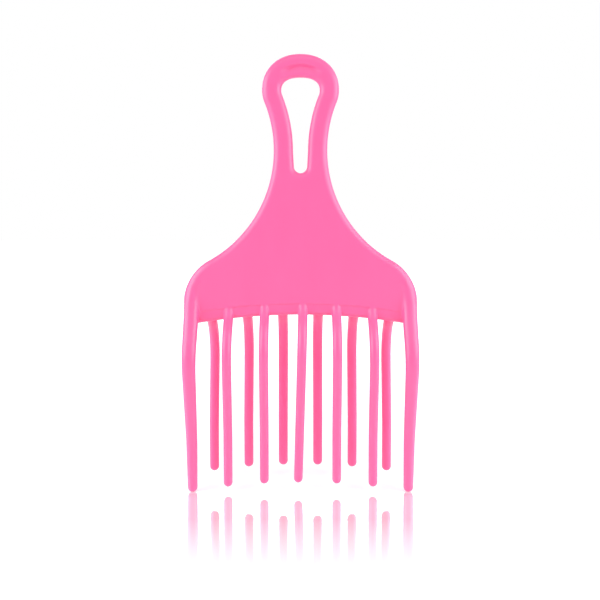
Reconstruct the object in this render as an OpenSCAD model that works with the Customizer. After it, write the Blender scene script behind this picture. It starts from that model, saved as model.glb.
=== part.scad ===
// Two-row pick for lifting curly hair: a flat blade with a loop handle, seven bowed teeth in front and six behind.
// It stands upright with its teeth down: X runs across the blade, Y from the front to the back, Z up.
// Heights are measured from the crown of the blade's lower edge, and the finished part stands on its outer front tips.

/* [Blade] */
// Width across the straight sides of the blade
blade_w = 93.4; // [90:0.2:98]
// Thickness of the blade and of the handle, whose edges are fully round
blade_t = 4.5; // [4.3:0.1:5.4]
// Radius of the shoulder at each side
shoulder_r = 20.5; // [17:0.5:22]
// Radius of the arch that the lower edge follows, and the tips with it
arch_r = 250; // [200:5:400]
// Radius of the lower corners
corner_r = 3; // [2.8:0.1:4]

/* [Handle] */
// Height of the top of the loop
handle_h = 102.7; // [100.7:0.2:108.7]
// Width across the neck, the narrowest place of the handle
neck_w = 21.1; // [19.9:0.2:23.9]
// Height of the neck
neck_h = 65.3; // [62.3:0.5:68.3]
// Radius of the hollow flank that runs from the loop down to the shoulder
flank_r = 49.6; // [46.1:0.5:56.1]
// Width across the loop
loop_w = 30.2; // [28.6:0.2:33.6]
// Radius of the loop's side where it is widest
loop_side_r = 12.6; // [11.1:0.5:14.1]
// Squareness of the loop's top, where 2 is an ellipse
loop_square = 2.15; // [2:0.05:2.4]

/* [Slot] */
// Width of the limb on each side of the slot
limb_w = 7.6; // [6.6:0.1:8.4]
// Height of the bar over the slot
crown_w = 9.2; // [8.4:0.1:10.4]
// Squareness of the slot's top, where 2 is an ellipse
slot_square = 2.35; // [2:0.05:2.6]
// Radius of the slot's lower end
slot_end_r = 2.6; // [2.1:0.1:2.8]
// Height of the slot's lower end
slot_h = 56.4; // [54.5:0.1:58.5]
// Web between the slot's lower end and the blade
web_h = 7.2; // [6:0.2:9]

/* [Tooth rows] */
// How much further an outer tooth stands from its neighbour than the other teeth of a row do from theirs
outer_extra = 0.45; // [0:0.05:1.5]
// How far an outer tooth leans in from its root to its tip
outer_in = 0.75; // [0:0.05:1.5]
// Step from the side of the blade in to the side of an outer tooth
outer_step = 0.6; // [0.3:0.1:1.5]
// Reach of the front teeth below the lower edge
front_reach = 65.3; // [60:0.1:75]
// Reach of the rear teeth below the lower edge
rear_reach = 63.7; // [60:0.1:75]
// Lean of the middle front tooth, to one side at its root and to the other at its tip
middle_sway = 0.9; // [0:0.1:1]

/* [Tooth bow] */
// Distance of the bow's belly from the middle of the blade
bow = 10.2; // [9.5:0.1:11.5]
// Distance of the belly below the lower edge
belly_drop = 16; // [15:0.1:18]
// Radius of the belly
belly_r = 20; // [18:0.5:22]
// Distance of the straight tips from the middle of the blade
tip_offset = 6.6; // [6:0.1:8]
// Radius of the last bend, into the straight tip
tip_bend_r = 40; // [30:1:50]
// Lean back from the belly towards the tip, in degrees
return_lean = 7.5; // [7:0.5:12]
// Radius with which a tooth bends out of the blade
root_bend_r = 6; // [5:0.5:7]
// Lean of a tooth where it leaves the blade, in degrees
root_lean = 42; // [38:1:45]
// Steepest lean of an outer tooth, which sweeps out of the blade's side in one long bend, in degrees
outer_lean = 40; // [38:1:43]

/* [Tooth sections] */
// Width of a front tooth at its root
front_root_w = 3.8; // [3.4:0.05:4.3]
// Width of a front tooth at its tip
front_tip_w = 3.5; // [2.8:0.05:3.8]
// Width of a rear tooth at its root
rear_root_w = 4.15; // [3.4:0.05:4.3]
// Width of a rear tooth at its tip
rear_tip_w = 3.8; // [2.8:0.05:4]
// Width of an outer tooth at its root
outer_root_w = 5.8; // [5:0.1:6.2]
// Width of an outer tooth at its tip
outer_tip_w = 3.8; // [3.2:0.05:4.4]
// Depth of a tooth at its root
root_d = 3.9; // [3.4:0.05:4.2]
// Depth of an outer tooth at its root
outer_root_d = 4.2; // [3.6:0.05:4.2]
// Depth of every tooth at its tip
tip_d = 3.5; // [2.8:0.05:3.8]
// Drop from the lower edge to the plane where a tooth sits on its boss
seat_drop = 1.3; // [1.1:0.1:1.8]

/* [Hidden] */
// Colour of the moulding
plastic = "#FE74AD";
// Number of teeth in each row
front_teeth = 7;
rear_teeth = 6;
// Steps of a round edge, of the stretches of an outline and round a tooth
rim_steps = 8;
flank_steps = 7;
side_steps = 5;
top_steps = 12;
edge_steps = 20;
corner_steps = 4;
tooth_sides = 16;
bend_steps = 5;
belly_steps = 9;
tip_steps = 3;
dome_steps = 4;
// Least height of one ring of a tooth
least_step = 0.4;
// Height inside the blade from which the flat faces are spanned, as a share of the web's top
hub_share = 0.28;

side_x = blade_w / 2;
edge_r = blade_t / 2;
loop_x = loop_w / 2;
neck_x = neck_w / 2;
parting_z = slot_h - web_h;
middle_tooth = (front_teeth + 1) / 2;
outer_root_x = side_x - outer_step - outer_root_w / 2;
tooth_pitch = (outer_root_x - outer_extra) / (middle_tooth - 1);

// The flank arc touches the loop's side arc above and the shoulder arc below
flank_c = [neck_x + flank_r, neck_h];
loop_c = [loop_x - loop_side_r, neck_h + leg(flank_r + loop_side_r, flank_c.x - loop_x + loop_side_r)];
shoulder_c = [side_x - shoulder_r, neck_h - leg(flank_r + shoulder_r, flank_c.x - side_x + shoulder_r)];
loop_turn = bearing(flank_c, loop_c);
shoulder_turn = bearing(shoulder_c, flank_c);
parting_turn = 180 + asin((neck_h - parting_z) / flank_r);
corner_c = [side_x - corner_r, leg(arch_r + corner_r, side_x - corner_r) - arch_r];
corner_turn = bearing(corner_c, [0, -arch_r]);

// Second leg of a right triangle
function leg(long_side, short_side) = sqrt(long_side * long_side - short_side * short_side);
// Direction from one point to another
function bearing(from, to) = atan2(to.y - from.y, to.x - from.x);
// How far the arch has dropped at a distance from the middle
function arch_drop(x) = arch_r - leg(arch_r, x);
function arc(c, r, from, to, steps) =
    [for (i = [0:steps]) let (a = from + (to - from) * i / steps) c + r * [cos(a), sin(a)]];
// Quarter of a squared ellipse, from its widest place up to its top
function quarter(c, reach, square, steps) =
    [for (i = [0:steps]) let (a = 90 * i / steps)
        c + [reach.x * pow(cos(a), 2 / square), reach.y * pow(sin(a), 2 / square)]];
function tail(points) = [for (i = [1:len(points) - 1]) points[i]];
function reversed(points) = [for (i = [len(points) - 1:-1:0]) points[i]];
function mirrored(points) = [for (p = reversed(points)) [-p.x, p.y]];
function flat(lists) = [for (list = lists) each list];

// Right half of the handle's outline, from the parting up to the middle of the top
function handle_half() = concat(
    arc(flank_c, flank_r, parting_turn, 180, flank_steps),
    tail(arc(flank_c, flank_r, 180, loop_turn, flank_steps)),
    tail(arc(loop_c, loop_side_r, loop_turn - 180, 0, side_steps)),
    tail(quarter([0, loop_c.y], [loop_x, handle_h - loop_c.y], loop_square, top_steps))
);

// Right half of the slot's outline, from the middle of its lower end up to the middle of its top
function slot_half() = concat(
    arc([0, slot_h + slot_end_r], slot_end_r, -90, 0, flank_steps - 1),
    arc(flank_c, flank_r + limb_w, 180, loop_turn, flank_steps),
    tail(arc(loop_c, loop_side_r - limb_w, loop_turn - 180, 0, side_steps)),
    tail(quarter([0, loop_c.y], [loop_x - limb_w, handle_h - crown_w - loop_c.y], slot_square, top_steps))
);

// Right half of the blade's outline, from the middle of the lower edge up to the parting
function blade_half() = concat(
    arc([0, -arch_r], arch_r, 90, corner_turn + 180, edge_steps / 2),
    tail(arc(corner_c, corner_r, corner_turn, 0, corner_steps)),
    arc(shoulder_c, shoulder_r, 0, shoulder_turn, flank_steps),
    tail(arc(flank_c, flank_r, shoulder_turn + 180, parting_turn, flank_steps + side_steps))
);

// Unit normal to the left of an outline at one of its points. At the two ends it lies in the parting plane.
function left_of(path, i, closed) =
    let (
        n = len(path),
        before = path[closed ? (i + n - 1) % n : max(i - 1, 0)],
        after = path[closed ? (i + 1) % n : min(i + 1, n - 1)],
        along = (after - before) / norm(after - before)
    )
    !closed && (i == 0 || i == n - 1) ? [-sign(path[i].x) / cos(parting_turn - 180), 0] : [-along.y, along.x];

// Points of the fully round edge at each point of an outline, from the front face to the back face
function round_edge(path, closed, hand) =
    [for (i = [0:len(path) - 1], k = [0:rim_steps])
        let (
            a = 180 * k / rim_steps - 90,
            p = path[i] + hand * edge_r * (1 - cos(a)) * left_of(path, i, closed)
        )
        [p.x, edge_r * sin(a), p.y]];

// Triangles between two neighbouring columns of a round edge
function edge_strip(a, b) =
    [for (k = [0:rim_steps - 1]) each [[a + k, b + k, a + k + 1], [b + k, b + k + 1, a + k + 1]]];
function turned(faces) = [for (f = faces) reversed(f)];

// Handle: a round edge outside, a round edge round the slot, and flat faces spanned between them
module handle_loop() {
    outer = concat(handle_half(), tail(mirrored(handle_half())));
    half_slot = slot_half();
    slot = concat(half_slot, [for (p = tail(mirrored(half_slot))) if (p.x < 0) p]);
    n = len(outer);
    step = rim_steps + 1;
    slot_start = n * step;
    function in(i) = slot_start + (i % len(slot)) * step;
    function flat_face(k) = [for (i = [0:n - 2]) each
        [[i * step + k, in(i) + k, (i + 1) * step + k], [in(i) + k, in(i + 1) + k, (i + 1) * step + k]]];
    function floor_face(k) = [[k, (n - 1) * step + k, slot_start + k]];
    parting = concat([for (k = [rim_steps:-1:0]) (n - 1) * step + k], [for (k = [0:rim_steps]) k]);
    color(plastic)
        stand()
            polyhedron(
                points = concat(round_edge(outer, false, 1), round_edge(slot, true, -1)),
                faces = concat(
                    flat([for (i = [0:n - 2]) edge_strip(i * step, (i + 1) * step)]),
                    flat([for (i = [0:len(slot) - 1]) turned(edge_strip(in(i), in(i + 1)))]),
                    flat_face(0), turned(flat_face(rim_steps)),
                    floor_face(0), turned(floor_face(rim_steps)),
                    [parting]
                )
            );
}

// Web of the blade: a round edge along the flanks, shoulders and arched lower edge, with flat faces
module web() {
    right = blade_half();
    outline = concat(mirrored(right), tail(right));
    n = len(outline);
    step = rim_steps + 1;
    hub = n * step;
    function flat_face(k, centre) =
        concat([for (i = [0:n - 2]) [i * step + k, centre, (i + 1) * step + k]], [[(n - 1) * step + k, centre, k]]);
    parting = concat([for (k = [rim_steps:-1:0]) (n - 1) * step + k], [for (k = [0:rim_steps]) k]);
    polyhedron(
        points = concat(
            round_edge(outline, false, 1),
            [[0, -edge_r, parting_z * hub_share], [0, edge_r, parting_z * hub_share]]
        ),
        faces = concat(
            flat([for (i = [0:n - 2]) edge_strip(i * step, (i + 1) * step)]),
            flat_face(0, hub), turned(flat_face(rim_steps, hub + 1)),
            [parting]
        )
    );
}

// One tooth of a row, or the boss on the blade from which it grows. Both follow one path, parted at the seat.
module tooth(place, front, boss) {
    outer = front && (place == 1 || place == front_teeth);
    hand = place < middle_tooth ? -1 : 1;
    lean = outer ? outer_lean : root_lean;
    root_w = outer ? outer_root_w : front ? front_root_w : rear_root_w;
    tip_w = outer ? outer_tip_w : front ? front_tip_w : rear_tip_w;
    root_depth = outer ? outer_root_d : root_d;
    reach = front ? front_reach : rear_reach;
    row_x = (place - (front ? middle_tooth : (rear_teeth + 1) / 2)) * tooth_pitch;
    drop = arch_drop(outer ? outer_root_x : row_x);
    sway = front && place == middle_tooth ? middle_sway : 0;

    // Heights and distances at which one stretch of the path meets the next
    bend_r = outer ? bow / (1 - cos(lean)) - belly_r : root_bend_r;
    run_y = bow - belly_r * (1 - cos(lean));
    run_z = belly_r * sin(lean) - belly_drop;
    bend_y = bend_r * (1 - cos(lean));
    bend_z = run_z + (run_y - bend_y) / tan(lean);
    start_z = bend_z + bend_r * sin(lean);
    back_y = bow - belly_r * (1 - cos(return_lean));
    back_z = -belly_drop - belly_r * sin(return_lean);
    turn_y = tip_offset + tip_bend_r * (1 - cos(return_lean));
    turn_z = back_z - (back_y - turn_y) / tan(return_lean);
    tip_z = turn_z - tip_bend_r * sin(return_lean);

    function round_y(r, rise) = r - leg(r, rise);
    function path_y(z) =
        z > bend_z ? round_y(bend_r, start_z - z) :
        z > run_z ? bend_y + (bend_z - z) * tan(lean) :
        z > back_z ? bow - round_y(belly_r, z + belly_drop) :
        z > turn_z ? back_y - (back_z - z) * tan(return_lean) :
        z > tip_z ? tip_offset + round_y(tip_bend_r, z - tip_z) :
        tip_offset;
    function path_lean(z) =
        z > bend_z ? asin((start_z - z) / bend_r) :
        z > run_z ? lean :
        z > back_z ? asin((z + belly_drop) / belly_r) :
        z > turn_z ? return_lean :
        z > tip_z ? asin((z - tip_z) / tip_bend_r) :
        0;
    function taper(root, tip, z) = root + (tip - root) * max(-z, 0) / reach;
    function side_at(height) =
        height > shoulder_c.y ? shoulder_c.x + leg(shoulder_r, height - shoulder_c.y) : side_x;
    function path_x(z) =
        !outer ? row_x + sway * min(1, 1 + 2 * z / reach) :
        z > 0 ? hand * (side_at(z - drop) - side_x + outer_root_x) :
        hand * taper(outer_root_x, outer_root_x - outer_in, z);
    function ring(z, grow = 1, sink = 0) =
        [for (j = [0:tooth_sides - 1])
            let (a = 360 * j / tooth_sides)
            [
                path_x(z) + grow * taper(root_w, tip_w, z) / 2 * cos(a),
                (front ? -1 : 1) * path_y(z) + grow * taper(root_depth, tip_d, z) / cos(path_lean(z)) / 2 * sin(a),
                z - sink - drop
            ]];

    dome_z = tip_w / 2 - reach;
    heights = concat(
        [for (i = [0:bend_steps]) start_z - bend_r * sin(lean * i / bend_steps)],
        [for (i = [0:belly_steps]) belly_r * sin(lean - (lean + return_lean) * i / belly_steps) - belly_drop],
        [for (i = [0:tip_steps]) tip_z + tip_bend_r * sin(return_lean * (1 - i / tip_steps))]
    );
    rings = boss
        ? concat(
            [for (z = heights) if (z > least_step - seat_drop) ring(z)],
            [ring(-seat_drop)]
        )
        : concat(
            [ring(-seat_drop)],
            [for (z = heights) if (z < -seat_drop - least_step && z > dome_z) ring(z)],
            [for (i = [0:dome_steps - 1])
                let (a = 90 * i / dome_steps) ring(dome_z, cos(a), tip_w / 2 * sin(a))]
        );
    last = (len(rings) - 1) * tooth_sides;
    apex = len(rings) * tooth_sides;
    lower_end = boss
        ? [[for (j = [0:tooth_sides - 1]) last + j]]
        : [for (j = [0:tooth_sides - 1]) [last + j, last + (j + 1) % tooth_sides, apex]];
    polyhedron(
        points = concat(flat(rings), boss ? [] : [[path_x(dome_z), (front ? -1 : 1) * tip_offset, -reach - drop]]),
        faces = concat(
            [[for (j = [tooth_sides - 1:-1:0]) j]],
            [for (i = [0:len(rings) - 2], j = [0:tooth_sides - 1])
                let (a = i * tooth_sides + j, b = i * tooth_sides + (j + 1) % tooth_sides)
                each [[a, b, a + tooth_sides], [b, b + tooth_sides, a + tooth_sides]]],
            lower_end
        )
    );
}

module blade() {
    color(plastic)
        stand()
            union() {
                web();
                for (i = [1:front_teeth]) tooth(i, true, true);
                for (i = [1:rear_teeth]) tooth(i, false, true);
            }
}

module front_tooth(i) {
    color(plastic) stand() tooth(i, true, false);
}

module rear_tooth(i) {
    color(plastic) stand() tooth(i, false, false);
}

// Lifts the part from the crown of its lower edge onto its outer tips
module stand() {
    translate([0, 0, front_reach + arch_drop(outer_root_x)]) children();
}

handle_loop();
blade();
for (i = [1:front_teeth]) front_tooth(i);
for (i = [1:rear_teeth]) rear_tooth(i);
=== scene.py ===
# %% [markdown]
# # A two-row hair pick, moulded in one piece
#
# The real object is one shot of pink polypropylene: a flat blade with a loop handle, a front row of seven
# bowed teeth and a rear row of six. There is no joint or screw on it, so nearly all of its look comes from
# two things: the soft fillets where the tool maker's round cutter ran from one form into the next, and the
# satin gloss of a mould that was blasted and not polished. This lesson makes the form first, as one smooth
# skin, then the plastic, then the light.
#
# We start from the CAD model. It fixes every size, so nothing below may grow past its box.

import math
from types import SimpleNamespace

import bmesh
import bpy
import numpy as np
from mathutils import Euler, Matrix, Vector


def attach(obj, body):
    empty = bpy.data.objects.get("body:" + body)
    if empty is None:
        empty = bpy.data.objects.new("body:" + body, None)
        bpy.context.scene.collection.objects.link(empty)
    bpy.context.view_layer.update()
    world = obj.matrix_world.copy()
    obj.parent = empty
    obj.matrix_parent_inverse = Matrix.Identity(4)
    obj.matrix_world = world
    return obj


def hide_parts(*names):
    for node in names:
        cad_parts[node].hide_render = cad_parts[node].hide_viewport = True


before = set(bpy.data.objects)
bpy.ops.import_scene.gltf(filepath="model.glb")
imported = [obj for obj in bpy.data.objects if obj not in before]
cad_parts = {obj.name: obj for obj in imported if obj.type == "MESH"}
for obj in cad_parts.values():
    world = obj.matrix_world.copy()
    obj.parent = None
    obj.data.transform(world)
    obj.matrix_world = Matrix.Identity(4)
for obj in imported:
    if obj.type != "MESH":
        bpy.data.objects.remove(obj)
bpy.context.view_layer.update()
mm = 0.001


# %% [markdown]
# ## The camera
#
# The photograph was taken from close by: the front teeth look wider apart than the rear ones, which is how
# we know that the two rows bow towards and away from us. A lens of 37.5 mm on a 36 mm sensor, a quarter of a
# metre away and level with the top of the blade, gives the same spread row by row. The camera tips down by
# only 3 degrees. The rest of the framing comes from a vertical lens shift, because tipping further would make
# the sides of the blade lean together.

# %% Place the camera
lower_edge_height = 69.06
camera_side, camera_distance, camera_above_edge = -0.2, 247.4, 45.7
camera_tip = 3

camera_data = bpy.data.cameras.new("product_camera")
camera_data.lens = 37.5
camera_data.sensor_width = 36
camera_data.shift_y = -0.112
camera_data.clip_start = 0.01
camera = bpy.data.objects.new("product_camera", camera_data)
camera.location = Vector((camera_side, -camera_distance, lower_edge_height + camera_above_edge)) * mm
camera.rotation_euler = Euler((math.radians(90 - camera_tip), 0, 0))
bpy.context.collection.objects.link(camera)
bpy.context.scene.camera = camera
print("camera at", [round(v / mm, 1) for v in camera.location], "mm, lens", camera_data.lens, "mm")

# %% [markdown]
# ## The outline of the blade and the handle
#
# Seen from the front, the pick is a chain of arcs: an arched lower edge, a tight corner, a round shoulder,
# one long hollow flank up to the neck, and a loop with a slightly squared top. We write only the right half,
# because the left half mirrors it. Heights are in millimetres from the crown of the lower edge, as on a
# workshop drawing.
#
# It could be traced as a curve by eye, but arcs that touch each other keep the highlights flowing without a
# kink.

# %% Draw the right half of both outlines
blade_half_width, arch_radius, corner_radius, shoulder_radius = 46.7, 250, 3, 20.5
neck_half_width, neck_height, flank_radius = 10.55, 65.3, 49.6
loop_half_width, loop_side_radius, loop_squareness, loop_top = 15.1, 12.6, 2.15, 102.7
limb_width, crown_width, slot_squareness = 7.6, 9.2, 2.35
slot_end_radius, slot_bottom = 2.6, 56.4


def leg(long_side, short_side):
    return math.sqrt(long_side**2 - short_side**2)


def arc(centre, radius, start, end, count=160):
    angle = np.radians(np.linspace(start, end, count))
    return np.column_stack((centre[0] + radius * np.cos(angle), centre[1] + radius * np.sin(angle)))


def squared_quarter(base, half_width, rise, squareness, count=240):
    angle = np.radians(np.linspace(0, 90, count))
    across = half_width * np.clip(np.cos(angle), 0, 1) ** (2 / squareness)
    return np.column_stack((across, base + rise * np.sin(angle) ** (2 / squareness)))


def bearing(start, end):
    return math.degrees(math.atan2(end[1] - start[1], end[0] - start[0]))


flank = (neck_half_width + flank_radius, neck_height)
loop_side = loop_half_width - loop_side_radius
loop = (loop_side, neck_height + leg(flank_radius + loop_side_radius, flank[0] - loop_side))
shoulder_side = blade_half_width - shoulder_radius
shoulder = (shoulder_side, neck_height - leg(flank_radius + shoulder_radius, flank[0] - shoulder_side))
corner_side = blade_half_width - corner_radius
corner = (corner_side, leg(arch_radius + corner_radius, corner_side) - arch_radius)
corner_turn = bearing(corner, (0, -arch_radius))
shoulder_turn = bearing(shoulder, flank)
loop_turn = bearing(flank, loop)
outer_outline = np.vstack((
    arc((0, -arch_radius), arch_radius, 90, corner_turn + 180),
    arc(corner, corner_radius, corner_turn, 0, count=40),
    arc(shoulder, shoulder_radius, 0, shoulder_turn),
    arc(flank, flank_radius, shoulder_turn + 180, loop_turn, count=300),
    arc(loop, loop_side_radius, loop_turn - 180, 0),
    squared_quarter(loop[1], loop_half_width, loop_top - loop[1], loop_squareness),
))
slot_half_width, slot_rise = loop_half_width - limb_width, loop_top - crown_width - loop[1]
slot_outline = np.vstack((
    arc((0, slot_bottom + slot_end_radius), slot_end_radius, -90, 0, count=60),
    arc(flank, flank_radius + limb_width, 180, loop_turn, count=200),
    arc(loop, loop_side_radius - limb_width, loop_turn - 180, 0, count=80),
    squared_quarter(loop[1], slot_half_width, slot_rise, slot_squareness),
))
print("outline points:", len(outer_outline), "slot points:", len(slot_outline))
print("the loop's side turns round", np.round(loop, 2))

# %% [markdown]
# ## A distance field in place of a mesh
#
# How do you model a fillet that runs from a flat blade, round its lower edge and out along a bowed tooth?
# Booleans leave a sharp crease there, and a bevel on that crease breaks. So we describe the solid as a
# *distance field*: a function that says for any point how far it is from the surface, negative inside. Two
# forms are joined by taking the smaller of their distances, and a smooth minimum rounds the corner between
# them, like the ball cutter that made the mould.
#
# First we need the flat distance to the outline. That takes a while for each point, so we work it out once on
# a fine chart and look it up later. Far below the blade a rough value does, because only the teeth are there.

# %% Chart the flat distance to the outline
chart_step, chart_width, chart_bottom, chart_top = 0.25, 52, -72, 106
plate_bottom, far_away = -9, 30.0


def flat_distance(outline, x, z):
    """Signed distance in the picture plane to an outline and its mirror image, negative inside."""
    nearest = np.full(x.shape, np.inf)
    inside = np.zeros(x.shape, bool)
    for (ax, az), (bx, bz) in zip(outline[:-1], outline[1:]):
        dx, dz = bx - ax, bz - az
        if dx == dz == 0:
            continue
        along = np.clip(((x - ax) * dx + (z - az) * dz) / (dx * dx + dz * dz), 0, 1)
        nearest = np.minimum(nearest, (x - ax - along * dx) ** 2 + (z - az - along * dz) ** 2)
        if dz:
            inside ^= ((az > z) != (bz > z)) & (x < ax + (z - az) * dx / dz)
    return np.where(inside, -1, 1) * np.sqrt(nearest)


chart_x, chart_z = np.arange(0, chart_width, chart_step), np.arange(chart_bottom, chart_top, chart_step)
grid_x, grid_z = np.meshgrid(chart_x, chart_z, indexing="ij")
near_plate = grid_z > plate_bottom
plate_x, plate_z = grid_x[near_plate], grid_z[near_plate]
chart = np.full(grid_x.shape, far_away)
chart[near_plate] = np.maximum(
    flat_distance(outer_outline, plate_x, plate_z), -flat_distance(slot_outline, plate_x, plate_z)
)
print("chart of", chart.size, "distances, deepest point inside:", round(float(chart.min()), 2), "mm")

# %% [markdown]
# ## The plate: blade and handle
#
# Blade and handle are 4.5 mm thick, and their edge is a soft one: it falls away over 3.2 mm, so that its
# section is half an ellipse. In distances this is short: from the distance to the outline and the depth we
# work out how far out on that ellipse a point is, just as we shall do for the teeth.
#
# Two shallow forms lie in the faces. A curved groove runs over the head of the slot: its upper wall is steep
# and shows as a dark crease, and from there its floor rises slowly to the slot. And along the teeth the blade
# steps back by 0.4 mm, so that each tooth starts as a small ridge out of a sunken strip. Both are taken from
# the depth and never from the outline, because a person knows a pick by its silhouette first.
#
# `blended` is the smooth minimum. With minus signs round it, it is a smooth maximum, which rounds the corner
# where material is cut away. Each pair of numbers below says where a slope starts and where it ends.

# %% Describe the plate
half_thickness, edge_width, face_rounding = 2.25, 3.2, 0.15
groove_centre, groove_foot, groove_depth, groove_rise_share = 84, 90, 1.4, 0.5
groove_wall, groove_floor, groove_end = (14.6, 13.5), (14.5, 10.5), (9, 4)
strip_depth, strip_wall, strip_end = 0.4, (5.0, 4.4), (41, 38)


def smooth_step(low, high, value):
    share = np.clip((value - low) / (high - low), 0, 1)
    return share * share * (3 - 2 * share)


def read_chart(x, z):
    """The flat distance at any place, mixed from the four nearest places of the chart."""
    # Just short of the last column and row, which have no neighbour to mix with
    last_column, last_row = np.array(chart.shape) - 1.001
    column = np.clip(np.abs(x) / chart_step, 0, last_column)
    row = np.clip((z - chart_bottom) / chart_step, 0, last_row)
    i, j = column.astype(int), row.astype(int)
    u, v = column - i, row - j
    low = chart[i, j] * (1 - u) + chart[i + 1, j] * u
    high = chart[i, j + 1] * (1 - u) + chart[i + 1, j + 1] * u
    return low * (1 - v) + high * v


def ellipse_distance(*terms):
    """Distance from an ellipse, true near it, from pairs of a place in half axes and its slope per mm."""
    tiny = 1e-6
    size = np.sqrt(sum(place**2 for place, _ in terms)) + tiny
    return (size - 1) * size / (np.sqrt(sum((place * slope) ** 2 for place, slope in terms)) + tiny)


def blended(a, b, width):
    share = np.maximum(width - np.abs(a - b), 0) / width
    return np.minimum(a, b) - share * share * width / 4


def plate_distance(x, y, z):
    ring = np.hypot(x, z - groove_centre)
    groove = groove_depth * smooth_step(*groove_wall, ring) * smooth_step(*groove_end, np.abs(x))
    groove = groove * (1 - groove_rise_share * smooth_step(*groove_floor, ring))
    above_edge = z + arch_radius - np.sqrt(arch_radius**2 - x**2)
    strip = strip_depth * smooth_step(*strip_wall, above_edge) * smooth_step(*strip_end, np.abs(x))
    inset = np.maximum(read_chart(x, z) + edge_width, 0) / edge_width
    solid = ellipse_distance((inset, 1 / edge_width), (y / half_thickness, 1 / half_thickness))
    face = np.abs(y) - half_thickness + np.where(z > groove_foot, groove, strip)
    return -blended(-solid, -face, face_rounding)


on_face = plate_distance(np.array([0.0]), np.array([half_thickness]), np.array([20.0]))
print("the rounding takes", on_face.round(4), "mm off each face of the blade")

# %% [markdown]
# ## The teeth
#
# Each tooth leaves the blade in a short bend, swings out to its belly 10.2 mm from the middle of the blade,
# comes back on a slight lean and ends upright, with a round tip. Its side view is one chain of touching arcs
# again, so all of it follows from a few radii and two leans.

# %% Work out the arcs of a tooth
bow, belly_drop, belly_radius = 10.2, 16, 20
tip_offset, tip_bend_radius, return_lean = 6.6, 40, math.radians(7.5)


def make_tooth(name, x, side, sway, shape):
    lean = math.radians(shape["lean"])
    # Without a root bend of its own, a tooth bends from its root straight into its belly
    bend = shape.get("root_bend") or bow / (1 - math.cos(lean)) - belly_radius
    run_y = bow - belly_radius * (1 - math.cos(lean))
    run_z = belly_radius * math.sin(lean) - belly_drop
    bend_y = bend * (1 - math.cos(lean))
    bend_z = run_z + (run_y - bend_y) / math.tan(lean)
    back_y = bow - belly_radius * (1 - math.cos(return_lean))
    back_z = -belly_drop - belly_radius * math.sin(return_lean)
    turn_y = tip_offset + tip_bend_radius * (1 - math.cos(return_lean))
    turn_z = back_z - (back_y - turn_y) / math.tan(return_lean)
    return SimpleNamespace(
        name=name, x=x, side=side, sway=sway, outer=shape["outer"],
        reach=shape["reach"], widths=shape["widths"], depths=shape["depths"],
        swell=shape["swell"], fade=shape["fade"], fillet=shape["fillet"],
        lean=lean, bend=bend, start_z=bend_z + bend * math.sin(lean), bend_y=bend_y, bend_z=bend_z,
        run_z=run_z, back_y=back_y, back_z=back_z, turn_z=turn_z,
        tip_z=turn_z - tip_bend_radius * math.sin(return_lean),
        drop=arch_radius - leg(arch_radius, x), dome=shape["widths"][1] / 2 - shape["reach"],
    )


print("a tooth bows out to", bow, "mm, and its tip stands", tip_offset, "mm from the middle of the blade")

# %% [markdown]
# Seven teeth stand in front and six behind, in each other's gaps. Widths and depths are given at the root and
# at the tip. The two outer teeth are the sides of the blade carried on: thicker, and they sweep out in one
# long bend that starts far up in the blade, where they swell a little and show as ridges.
#
# The middle front tooth of the real pick leans a little to one side, as a thin tooth does that was pushed out
# of the mould while it was still warm.

# %% List the thirteen teeth
row_pitch, outer_root_x, middle_sway = 14.25, 43.2, 0.9
inner_shape = {
    "reach": 65.3, "widths": (3.8, 3.5), "depths": (3.9, 3.5), "lean": 42, "root_bend": 12,
    "swell": 0.0, "fade": (5, 9), "fillet": 0.3, "outer": False,
}
outer_shape = {
    "reach": 65.3, "widths": (5.8, 3.8), "depths": (4.15, 3.5), "lean": 31,
    "swell": 0.45, "fade": (16, 23), "fillet": 0.6, "outer": True,
}
rear_shape = inner_shape | {"reach": 63.7, "widths": (4.15, 3.8), "depths": (3.85, 3.5)}

teeth = []
for number in range(1, 8):
    place, shape = (number - 4) * row_pitch, inner_shape
    if number in (1, 7):
        place, shape = math.copysign(outer_root_x, place), outer_shape
    teeth.append(make_tooth(f"front_tooth_{number}", place, -1, middle_sway if number == 4 else 0.0, shape))
for number in range(1, 7):
    teeth.append(make_tooth(f"rear_tooth_{number}", (number - 3.5) * row_pitch, 1, 0.0, rear_shape))
for tooth in (teeth[0], teeth[1]):
    print(tooth.name, "starts", round(tooth.start_z, 1), "mm above the edge, reaches", tooth.reach, "mm down")

# %% [markdown]
# A tooth could be a curve with a bevel, but its section changes from root to tip and is an ellipse. So we
# take it as a stack of ellipses along the path and measure how far a point is from that stack. Heights count
# from the arched edge above the tooth. The outer teeth follow the round shoulder inwards where they run up
# into it.

# %% Measure the distance to a tooth
outer_lean_in, swell_from = 0.75, -8


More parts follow.
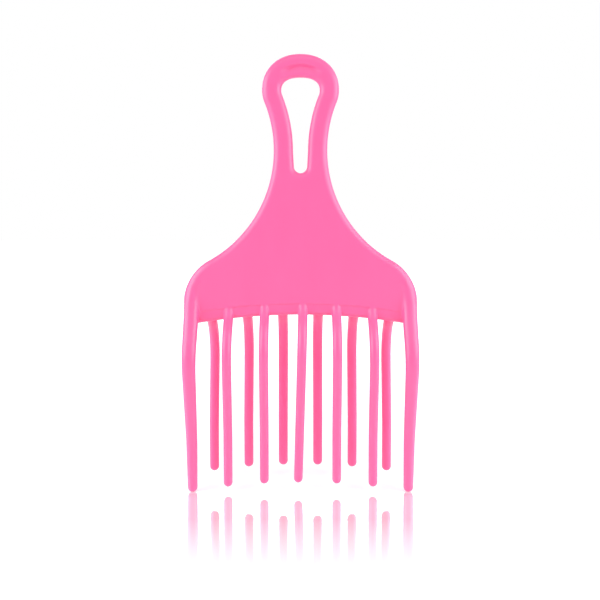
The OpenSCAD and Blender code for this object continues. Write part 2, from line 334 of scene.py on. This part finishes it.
def tooth_path(tooth, z):
    """Distance of a tooth from the middle of the blade, and its lean, at heights from the edge above it."""
    def round_y(radius, rise):
        return radius - np.sqrt(np.maximum(radius**2 - rise**2, 0))

    joints = (tooth.start_z, tooth.bend_z, tooth.run_z, tooth.back_z, tooth.turn_z, tooth.tip_z)
    where = [z > joint for joint in joints]
    offset = np.select(where, [
        0 * z,
        round_y(tooth.bend, tooth.start_z - z),
        tooth.bend_y + (tooth.bend_z - z) * math.tan(tooth.lean),
        bow - round_y(belly_radius, z + belly_drop),
        tooth.back_y - (tooth.back_z - z) * math.tan(return_lean),
        tip_offset + round_y(tip_bend_radius, z - tooth.tip_z),
    ], tip_offset)
    slope = np.select(where, [
        0 * z,
        np.arcsin(np.clip((tooth.start_z - z) / tooth.bend, 0, 1)),
        0 * z + tooth.lean,
        np.arcsin(np.clip((z + belly_drop) / belly_radius, -1, 1)),
        0 * z + return_lean,
        np.arcsin(np.clip((z - tooth.tip_z) / tip_bend_radius, 0, 1)),
    ], 0)
    return offset, slope


def tooth_middle(tooth, z):
    """Distance of a tooth from the middle of the part, left to right."""
    down = np.clip(-z / tooth.reach, 0, 1)
    if not tooth.outer:
        return tooth.x + tooth.sway * np.minimum(1, 1 + 2 * z / tooth.reach)
    rise = np.clip(z - tooth.drop - shoulder[1], 0, shoulder_radius)
    follow = shoulder_radius - np.sqrt(shoulder_radius**2 - rise**2)
    return np.sign(tooth.x) * (abs(tooth.x) - outer_lean_in * down - np.where(z > 0, follow, 0))


def tooth_distance(tooth, x, y, z):
    z = z + tooth.drop
    down = np.clip(-z / tooth.reach, 0, 1)
    offset, slope = tooth_path(tooth, z)
    half_width = (tooth.widths[0] + (tooth.widths[1] - tooth.widths[0]) * down) / 2
    depth = tooth.depths[0] + (tooth.depths[1] - tooth.depths[0]) * down
    half_depth = (depth + tooth.swell * smooth_step(swell_from, 0, z)) / 2 / np.cos(slope)
    across = (x - tooth_middle(tooth, z)) / half_width
    deep = (y - tooth.side * offset) / half_depth
    tip_radius = tooth.widths[1] / 2
    below = np.minimum(z - tooth.dome, 0) / tip_radius
    return ellipse_distance(
        (across, 1 / half_width), (deep, 1 / half_depth / np.cos(slope)), (below, 1 / tip_radius)
    )


belly_offset, belly_lean = tooth_path(teeth[1], np.array([-1.0 * belly_drop]))
print("at its belly a tooth stands", belly_offset, "mm out and leans by", belly_lean)

# %% [markdown]
# ## Joining the forms
#
# The smooth minimum needs one number, how wide the blend is. The roots of the teeth look crisp in the
# photograph, so their fillets measure only a few tenths of a millimetre, and about twice that at the two
# outer teeth, whose ridges melt into the blade. Further up inside the blade each tooth is made to fade, so
# that it rises out of the face gently, and on the far side of the blade the blend is narrower still, so that
# it leaves no bump there.

# %% Describe the whole moulding
fade_depth, far_fillet, side_fillet = 3, 0.1, 0.6
far_side, own_side = -1.0, 0.5
margin_beside, margin_above = 3.5, 3


def near_tooth(tooth, x, z):
    beside = np.abs(x - tooth.x) < tooth.widths[0] / 2 + margin_beside
    return beside & (z + tooth.drop < tooth.start_z + margin_above)


def moulding_distance(x, y, z):
    distance = plate_distance(x, y, z)
    for tooth in teeth:
        here = near_tooth(tooth, x, z)
        if not here.any():
            continue
        tx, ty, tz = x[here], y[here], z[here]
        faded = tooth_distance(tooth, tx, ty, tz) + fade_depth * smooth_step(*tooth.fade, tz + tooth.drop)
        width = far_fillet + tooth.fillet * smooth_step(far_side, own_side, tooth.side * ty)
        distance[here] = blended(distance[here], faded, width)
    return -blended(-distance, blade_half_width - np.abs(x), side_fillet)


root = np.array([[row_pitch, -half_thickness, 0.0]])
print("a tooth covers the face of the blade by", -moulding_distance(*root.T).round(2), "mm at its root")

# %% [markdown]
# ## From the field to a mesh
#
# Blender shows meshes, so the surface has to be pulled out of the field. We use *surface nets*: lay a lattice
# over the space, put one vertex into each cell that the surface passes through, and join the vertices of
# neighbouring cells to quads. A new vertex stands at the mean of the places where the surface crosses the
# edges of its cell.

# %% Pull the surface out of the field
cell = 0.5
lattice_start, lattice_end = (-48.5, -14, -71), (48.6, 14.1, 104.5)


def surface_nets(values, origin, step):
    inside = values < 0
    corners = np.array([(i, j, k) for i in (0, 1) for j in (0, 1) for k in (0, 1)])
    nx, ny, nz = (n - 1 for n in values.shape)
    count = sum(inside[i:i + nx, j:j + ny, k:k + nz].astype(np.int8) for i, j, k in corners)
    active = (count > 0) & (count < len(corners))
    cells = np.argwhere(active)
    index = np.full(active.shape, -1)
    index[active] = np.arange(len(cells))
    # Collect the places where the surface crosses the twelve edges of each cell
    total, hits = np.zeros(cells.shape), np.zeros(len(cells))
    for a in corners:
        for axis in range(3):
            if a[axis]:
                continue
            start, end = cells + a, cells + a + np.eye(3, dtype=int)[axis]
            va, vb = values[tuple(start.T)], values[tuple(end.T)]
            crossed = (va < 0) != (vb < 0)
            point = a + np.outer(va / np.where(crossed, va - vb, 1), np.eye(3)[axis])
            total[crossed] += point[crossed]
            hits[crossed] += 1
    points = origin + step * (cells + total / hits[:, None])
    # Each edge of the lattice that the surface crosses gets one quad, through the four cells round it
    quads = []
    for axis in range(3):
        u, v = np.eye(3, dtype=int)[(axis + 1) % 3], np.eye(3, dtype=int)[(axis + 2) % 3]
        ahead = np.eye(3, dtype=int)[axis]
        low = inside[tuple(slice(-1 if a else None) for a in ahead)]
        high = inside[tuple(slice(a, None) for a in ahead)]
        edges = np.argwhere(low != high)
        ring = np.column_stack([index[tuple((edges - s).T)] for s in (0 * u, u, u + v, v)])
        leaving = low[tuple(edges.T)]
        quads.append(np.where(leaving[:, None], ring, ring[:, ::-1]))
    return points, np.vstack(quads)


axes = [np.arange(start, end, cell) for start, end in zip(lattice_start, lattice_end)]
lattice = np.stack(np.meshgrid(*axes, indexing="ij"), axis=-1)
field = moulding_distance(*(lattice[..., k].ravel() for k in range(3))).reshape(lattice.shape[:3])
points, quads = surface_nets(field, np.array(lattice_start), cell)
print("lattice of", field.size, "points gives", len(points), "vertices and", len(quads), "quads")

# %% [markdown]
# The net is still lumpy, because the field isn't straight inside a cell. So each vertex is slid along the
# slope of the field until its distance is zero, which makes the surface exact although the lattice is coarse.
# In between, the vertices are evened out so that the quads stay square.

# %% Slide the vertices onto the surface
def slope_of_field(points, reach=0.03):
    slope = np.empty_like(points)
    for axis in range(3):
        shift = np.eye(3)[axis] * reach
        ahead, behind = points + shift, points - shift
        rise = moulding_distance(*ahead.T.copy()) - moulding_distance(*behind.T.copy())
        slope[:, axis] = rise / (2 * reach)
    return slope


def onto_surface(points, rounds):
    for _ in range(rounds):
        slope = slope_of_field(points)
        distance = moulding_distance(*points.T.copy())
        points = points - slope * np.clip(distance / (slope**2).sum(axis=1), -cell, cell)[:, None]
    return points


def evened(points, quads):
    total, count = np.zeros_like(points), np.zeros(len(points))
    for a, b in ((0, 1), (1, 2), (2, 3), (3, 0)):
        np.add.at(total, quads[:, a], points[quads[:, b]])
        np.add.at(count, quads[:, a], 1)
    return (points + total / count[:, None]) / 2


points = onto_surface(points, 2)
for _ in range(3):
    points = onto_surface(evened(points, quads), 1)
points = onto_surface(points, 1)
print("largest error left:", round(float(np.abs(moulding_distance(*points.T.copy())).max()), 4), "mm")

# %% [markdown]
# ## One piece for each member
#
# The CAD model names the members of the moulding, and each keeps its own piece here: the handle, the blade
# and the thirteen teeth. A knife in edit mode could part them, but a plane through the faces round each seat
# cuts just as clean and can be placed from the sizes. The handle is parted at the neck, the teeth just below
# the edge.

# %% Cut the skin into members
parting_height, seat_drop = 49.2, 1.3
cut_reach, seat_reach, off_middle = 2, 4.5, 0.6
skin = bmesh.new()
for point in points:
    skin.verts.new(point)
skin.verts.ensure_lookup_table()
for quad in quads:
    skin.faces.new([skin.verts[i] for i in quad])


def seat_level(tooth):
    return -seat_drop - tooth.drop


def on_own_side(c, tooth):
    return abs(c.x - tooth.x) < seat_reach and c.y * tooth.side > off_middle


def cut_level(height, tooth=None):
    """Cut the skin at a height, all round or only round one tooth."""
    faces = []
    for face in skin.faces:
        c = face.calc_center_median()
        if abs(c.z - height) < cut_reach and (tooth is None or on_own_side(c, tooth)):
            faces.append(face)
    verts = list(dict.fromkeys(v for f in faces for v in f.verts))
    edges = list(dict.fromkeys(e for f in faces for e in f.edges))
    bmesh.ops.bisect_plane(
        skin, geom=verts + edges + faces, dist=1e-5, plane_co=(0, 0, height), plane_no=(0, 0, 1)
    )


def member_of(c):
    if c.z > parting_height:
        return "handle_loop"
    for tooth in teeth:
        if c.z < seat_level(tooth) and on_own_side(c, tooth):
            return tooth.name
    return "blade"


cut_level(parting_height)
for tooth in teeth:
    cut_level(seat_level(tooth), tooth)
skin.verts.index_update()
members = {}
for face in skin.faces:
    members.setdefault(member_of(face.calc_center_median()), []).append([v.index for v in face.verts])
print({name: len(faces) for name, faces in members.items()})

# %% [markdown]
# The cuts must not be seen. Smooth shading alone would shade each piece by its own faces and leave a line, so
# every vertex gets the normal that the field has there, and neighbours share it. Each vertex also keeps its
# distance from the parting surface of the mould, which the plastic needs later for its hairline.

# %% Work out normals and the distance from the parting
places = np.array([v.co[:] for v in skin.verts])
skin.free()
normals = slope_of_field(places)
normals /= np.linalg.norm(normals, axis=1)[:, None]


def from_parting(x, y, z):
    """How far each point is from the middle of the blade, or of a tooth, where the mould halves met."""
    gap, from_plate = y.copy(), plate_distance(x, y, z)
    for tooth in teeth:
        # Near two teeth the later one counts, so a front tooth loses most of its hairline next to a rear one
        here = np.flatnonzero(near_tooth(tooth, x, z))
        closer = tooth_distance(tooth, x[here], y[here], z[here]) < from_plate[here]
        offset, slope = tooth_path(tooth, z[here] + tooth.drop)
        gap[here[closer]] = ((y[here] - tooth.side * offset) * np.cos(slope))[closer]
    return gap


parting = from_parting(*places.T.copy())
print(len(places), "normals, half of them within", np.median(np.abs(parting)).round(2), "mm of the parting")

# %% [markdown]
# Now each member becomes an object of its own, lifted so that the lowest tips touch the floor. Where it was
# cut it is open, and a cap closes it, so that every piece is a sound solid for whoever takes it apart.

# %% Build a closed piece for each member
def build_member(name, faces):
    used = sorted({i for face in faces for i in face})
    place_of = {old: new for new, old in enumerate(used)}
    mesh = bpy.data.meshes.new(name + "_skin")
    seated = (places[used] + (0, 0, lower_edge_height)) * mm
    mesh.from_pydata(seated.tolist(), [], [[place_of[i] for i in face] for face in faces])
    work = bmesh.new()
    work.from_mesh(mesh)
    caps = bmesh.ops.holes_fill(work, edges=[e for e in work.edges if e.is_boundary], sides=0)["faces"]
    work.to_mesh(mesh)
    work.free()
    mesh.shade_smooth()
    mesh.normals_split_custom_set_from_vertices(normals[used].tolist())
    attribute = mesh.attributes.new("parting_gap", "FLOAT", "POINT")
    attribute.data.foreach_set("value", parting[used].astype(np.float32))
    piece = bpy.data.objects.new(name + "_skin", mesh)
    bpy.context.collection.objects.link(piece)
    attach(piece, "root")
    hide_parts(name)
    print(piece.name, len(mesh.polygons), "faces,", len(caps), "caps")
    return piece


pieces = [build_member(name, members[name]) for name in sorted(members)]

# %% [markdown]
# ## Moulded polypropylene
#
# Picks like this are moulded in polypropylene or a close relative, because a tooth must bend and not snap.
# The pigment runs right through, so there is no paint layer and no metal in it: one saturated pink, a clear
# reflection of about 4 percent seen square on (IOR 1.49), and much more at a grazing angle, which is what
# draws the pale rims. The mould was finely blasted, so the gloss is satin, with a roughness of 0.34.
#
# Three helpers serve all materials: one turns a hex colour into linear values, one adds a node with its
# settings and links, and one opens an empty material.

# %% Helpers for materials
def pigment(hex_colour):
    """An sRGB hex colour as the linear values that Blender's sockets take."""
    values = [int(hex_colour[i:i + 2], 16) / 255 for i in (1, 3, 5)]
    return [v / 12.92 if v <= 0.04045 else ((v + 0.055) / 1.055) ** 2.4 for v in values] + [1.0]


def add_node(tree, kind, inputs=None, **settings):
    node = tree.nodes.new(kind)
    for name, value in settings.items():
        setattr(node, name, value)
    for name, value in (inputs or {}).items():
        if isinstance(value, bpy.types.NodeSocket):
            tree.links.new(value, node.inputs[name])
        else:
            node.inputs[name].default_value = value
    return node


def fresh_material(name):
    material = bpy.data.materials.new(name)
    material.use_nodes = True
    material.node_tree.nodes.clear()
    return material, material.node_tree


pure_white = pigment("#FFFFFF")
print("the pink in linear values:", [round(v, 3) for v in pigment("#FC639F")])

# %% [markdown]
# Four small things keep it from looking like a computer's pink: faint streaks in the pigment, the blasted
# grain, a slow waviness where the plastic shrank as it cooled, and the hairline where the two halves of the
# mould met. A picture painted on the mesh could hold them, but worked out from the place in space they need
# no unwrapping and run across the cuts.

# %% Mix the moulded polypropylene
streak_width, streak_length, grain_size, shrink_size = 6 * mm, 20 * mm, 0.35 * mm, 12 * mm
shrink_depth, hairline_height, grain_depth = 0.01 * mm, 0.02 * mm, 0.004 * mm
hairline_core, hairline_edge = 0.05, 0.15

polypropylene, tree = fresh_material("moulded_polypropylene_satin_pink")
surface = add_node(tree, "ShaderNodeTexCoord").outputs["Object"]

# Pigment streaks: the melt flowed down from the handle, so they are long and faint, about 20 mm by 6 mm
stretched = add_node(tree, "ShaderNodeMapping", {
    "Vector": surface, "Scale": (1 / streak_width, 1 / streak_width, 1 / streak_length),
})
streaks = add_node(tree, "ShaderNodeTexNoise", {"Vector": stretched.outputs[0], "Scale": 1.0, "Detail": 3.0})
tint = add_node(tree, "ShaderNodeMix", {
    "Factor": streaks.outputs[0], "A": pigment("#FB619D"), "B": pigment("#FD65A1"),
}, data_type="RGBA")

# Blasted grain: really about 0.1 mm, drawn at 0.35 mm so that it still shows in a picture of the whole pick
grain = add_node(tree, "ShaderNodeTexNoise", {"Vector": surface, "Scale": 1 / grain_size, "Detail": 2.0})

# Shrinkage: the flat faces wave by about 0.01 mm over 12 mm
shrink = add_node(tree, "ShaderNodeTexNoise", {"Vector": surface, "Scale": 1 / shrink_size, "Detail": 1.0})

# Hairline of the mould: about 0.2 mm wide and 0.02 mm proud, where the distance from the parting is near zero
gap = add_node(tree, "ShaderNodeAttribute", attribute_name="parting_gap")
away = add_node(tree, "ShaderNodeMath", {0: gap.outputs["Fac"]}, operation="ABSOLUTE")
hairline = add_node(tree, "ShaderNodeMapRange", {
    "Value": away.outputs[0], "From Min": hairline_core, "From Max": hairline_edge,
    "To Min": 1.0, "To Max": 0.0,
}, interpolation_type="SMOOTHSTEP")

waved = add_node(tree, "ShaderNodeBump", {
    "Height": shrink.outputs[0], "Strength": 1.0, "Distance": shrink_depth,
})
lined = add_node(tree, "ShaderNodeBump", {
    "Height": hairline.outputs[0], "Strength": 1.0, "Distance": hairline_height, "Normal": waved.outputs[0],
})
blasted = add_node(tree, "ShaderNodeBump", {
    "Height": grain.outputs[0], "Strength": 1.0, "Distance": grain_depth, "Normal": lined.outputs[0],
})
plastic = add_node(tree, "ShaderNodeBsdfPrincipled", {
    "Base Color": tint.outputs["Result"], "Roughness": 0.34, "IOR": 1.49, "Normal": blasted.outputs[0],
})
add_node(tree, "ShaderNodeOutputMaterial", {"Surface": plastic.outputs[0]})
for piece in pieces:
    piece.data.materials.append(polypropylene)
print("nodes in the plastic:", len(tree.nodes))

# %% [markdown]
# ## The floor
#
# The pick stands over a white acrylic sheet. Acrylic is white all through, which gives the soft shadow, and
# glossy on top, which gives a faint mirror image of the teeth. In the photograph that image fades towards us,
# so the polish of our sheet fades too.

# %% Lay the sheet and fade its polish
# Where the polish starts and fades, in millimetres from the blade towards us
polish_start, polish_fade = (6.5, 8.5), (28, 69)
polish_share, sheet_reach = 0.66, 1500 * mm

sheet = bpy.data.meshes.new("white_sheet")
work = bmesh.new()
bmesh.ops.create_grid(work, x_segments=8, y_segments=8, size=sheet_reach)
work.to_mesh(sheet)
work.free()
floor = bpy.data.objects.new("white_sheet", sheet)
bpy.context.collection.objects.link(floor)

acrylic, tree = fresh_material("white_gloss_acrylic")
sheet.materials.append(acrylic)
spot = add_node(tree, "ShaderNodeTexCoord").outputs["Object"]
parts = add_node(tree, "ShaderNodeSeparateXYZ", {0: spot})
faded_polish = add_node(tree, "ShaderNodeMapRange", {
    "Value": parts.outputs["Y"], "From Min": -polish_fade[1] * mm, "From Max": -polish_fade[0] * mm,
    "To Min": 0.0, "To Max": polish_share,
})
before_teeth = add_node(tree, "ShaderNodeMapRange", {
    "Value": parts.outputs["Y"], "From Min": -polish_start[1] * mm, "From Max": -polish_start[0] * mm,
    "To Min": 1.0, "To Max": 0.0,
})
print("floor", [round(v, 2) for v in floor.dimensions], "m")

# %% [markdown]
# The mirror image in the photograph is a retoucher's: it starts at one line, and the rear teeth come in later
# and with round ends, which no flat mirror can do. A sheet that is polished in bands can. The bands are plain
# arithmetic on the place on the sheet. Mirror images run along lines that fan out from below the camera, so
# the first steps work out which place on a row of teeth is mirrored here. A cosine of that place then gives
# one band to each tooth: full length for the front row, and with a later, arched and rounded start for the
# rear row.

# %% Work out the bands of polish
front_band_edge, outer_band_from, joined_from = (0.26, 0.38), 38.3, 29.5
rear_band_start, rear_band_arch, rear_band_round = 25.7, 2.77, 33
front_row, rear_row = camera_distance - tip_offset, camera_distance + tip_offset
turns = 2 * math.pi / (row_pitch * mm)

# Each step has a name, an operation and what it works on: numbers, or the names of earlier steps
steps = (
    ("to_camera", "ADD", "depth", camera_distance * mm),
    ("spread", "DIVIDE", "across", "to_camera"),
    ("front_place", "MULTIPLY", "spread", front_row * mm),
    ("front_angle", "MULTIPLY", "front_place", turns),
    ("front_wave", "COSINE", "front_angle", 0.0),
    ("side_place", "ABSOLUTE", "front_place", 0.0),
    ("side_band", "GREATER_THAN", "side_place", outer_band_from * mm),
    ("rear_place", "MULTIPLY", "spread", rear_row * mm),
    ("rear_angle", "MULTIPLY", "rear_place", turns),
    ("rear_wave", "COSINE", "rear_angle", 0.0),
    ("beside_tooth", "ADD", "rear_wave", 1.0),
    ("beside_squared", "MULTIPLY", "beside_tooth", "beside_tooth"),
    ("rounded", "MULTIPLY", "beside_squared", -rear_band_round * mm),
    ("rear_squared", "MULTIPLY", "rear_place", "rear_place"),
    ("arched", "MULTIPLY", "rear_squared", rear_band_arch),
    ("arched_start", "ADD", "arched", -rear_band_start * mm),
    ("rounded_start", "ADD", "arched_start", "rounded"),
    ("rear_start", "MAXIMUM", "rounded_start", -joined_from * mm),
    ("rear_band", "LESS_THAN", "depth", "rear_start"),
    ("rear_bands", "MAXIMUM", "rear_band", "side_band"),
)
worked_out = {"across": parts.outputs["X"], "depth": parts.outputs["Y"]}
for name, operation, *terms in steps:
    inputs = {i: worked_out.get(term, term) for i, term in enumerate(terms)}
    worked_out[name] = add_node(tree, "ShaderNodeMath", inputs, operation=operation).outputs[0]
front_band = add_node(tree, "ShaderNodeMapRange", {
    "Value": worked_out["front_wave"], "From Min": front_band_edge[0], "From Max": front_band_edge[1],
})
bands = add_node(tree, "ShaderNodeMath", {
    0: front_band.outputs[0], 1: worked_out["rear_bands"],
}, operation="MAXIMUM")
print("steps in the bands:", len(steps))

# %% [markdown]
# Why does the sheet not look grey, as a white floor does in so many renders? Its white comes from its own
# colour and from a glow that only the camera and reflections see, and never from more light on the pick. The
# glow is weaker round the pick and full from half a metre on, so a trace of the shadow under the teeth stays.

# %% Mix the acrylic
weak_glow, weak_within, full_from = 0.30, 50 * mm, 500 * mm


def rays_that_look(tree):
    """Two sockets: one for rays straight from the camera, one for rays by way of a mirror or glass."""
    rays = add_node(tree, "ShaderNodeLightPath")
    by_way = add_node(tree, "ShaderNodeMath", {
        0: rays.outputs["Is Glossy Ray"], 1: rays.outputs["Is Transmission Ray"],
    }, operation="MAXIMUM")
    return rays.outputs["Is Camera Ray"], by_way.outputs[0]


straight, by_way = rays_that_look(tree)
from_pick = add_node(tree, "ShaderNodeVectorMath", {0: spot}, operation="LENGTH")
brightness = add_node(tree, "ShaderNodeMapRange", {
    "Value": from_pick.outputs["Value"], "From Min": weak_within, "From Max": full_from,
    "To Min": weak_glow, "To Max": 1.0,
})
white = add_node(tree, "ShaderNodeBsdfDiffuse", {"Color": pigment("#F0F0F0")})
glow = add_node(tree, "ShaderNodeEmission", {"Color": pure_white, "Strength": brightness.outputs[0]})
full_glow = add_node(tree, "ShaderNodeEmission", {"Color": pure_white, "Strength": 1.0})
seen_glow = add_node(tree, "ShaderNodeMixShader", {0: straight, 2: glow.outputs[0]})
any_glow = add_node(tree, "ShaderNodeMixShader", {
    0: by_way, 1: seen_glow.outputs[0], 2: full_glow.outputs[0],
})
body = add_node(tree, "ShaderNodeAddShader", {0: white.outputs[0], 1: any_glow.outputs[0]})
polish = add_node(tree, "ShaderNodeBsdfGlossy", {"Color": pure_white, "Roughness": 0.05})
open_polish = add_node(tree, "ShaderNodeMath", {
    0: faded_polish.outputs[0], 1: before_teeth.outputs[0],
}, operation="MULTIPLY")
strength = add_node(tree, "ShaderNodeMath", {
    0: open_polish.outputs[0], 1: bands.outputs[0],
}, operation="MULTIPLY")
top = add_node(tree, "ShaderNodeMixShader", {
    0: strength.outputs[0], 1: body.outputs[0], 2: polish.outputs[0],
})
add_node(tree, "ShaderNodeOutputMaterial", {"Surface": top.outputs[0]})
print("nodes in the acrylic:", len(tree.nodes))

# %% [markdown]
# ## The light
#
# A satin surface shows what stands round it, so a product like this is shot in a tent of white cloth. The
# world plays the tent: a trace of even light from all sides, and pure white for the camera and for
# reflections. Two broad soft boxes, at the left and the right and a little above the pick, do most of the
# work. They stand so far round that the front row shades the rear one, as in the photograph, that the roots
# of the teeth stand out from the blade, and that the round edges get pale rims. A weaker box above the camera
# fills the faces, and a wide one behind lights the back and the sheet.

# %% Hang the tent and the soft boxes
world = bpy.data.worlds.new("white_tent")
world.use_nodes = True
bpy.context.scene.world = world
tree = world.node_tree
tree.nodes.clear()
straight, by_way = rays_that_look(tree)
shown = add_node(tree, "ShaderNodeMath", {0: straight, 1: by_way}, operation="MAXIMUM")
cloth = add_node(tree, "ShaderNodeBackground", {"Color": pure_white, "Strength": 0.15})
backdrop = add_node(tree, "ShaderNodeBackground", {"Color": pure_white, "Strength": 1.0})
tent = add_node(tree, "ShaderNodeMixShader", {
    0: shown.outputs[0], 1: cloth.outputs[0], 2: backdrop.outputs[0],
})
add_node(tree, "ShaderNodeOutputWorld", {"Surface": tent.outputs[0]})


def soft_box(name, place, target, size, watts):
    light = bpy.data.lights.new(name, "AREA")
    light.shape, light.energy = "RECTANGLE", watts
    light.size, light.size_y = size
    lamp = bpy.data.objects.new(name, light)
    lamp.location = place
    lamp.rotation_euler = (Vector(target) - Vector(place)).to_track_quat("-Z", "Y").to_euler()
    bpy.context.collection.objects.link(lamp)


pick_middle, teeth_roots = (0, 0, 0.09), (0, 0, 0.06)
soft_box("back_soft_box", place=(0, 0.45, 0.45), target=teeth_roots, size=(0.9, 0.5), watts=2.6)
for name, side in (("left_soft_box", -1), ("right_soft_box", 1)):
    soft_box(name, place=(0.50 * side, -0.20, 0.28), target=pick_middle, size=(0.5, 0.4), watts=3.05)
soft_box("top_soft_box", place=(0, -0.30, 0.55), target=pick_middle, size=(0.5, 0.3), watts=0.55)
bpy.context.scene.view_settings.view_transform = "Standard"
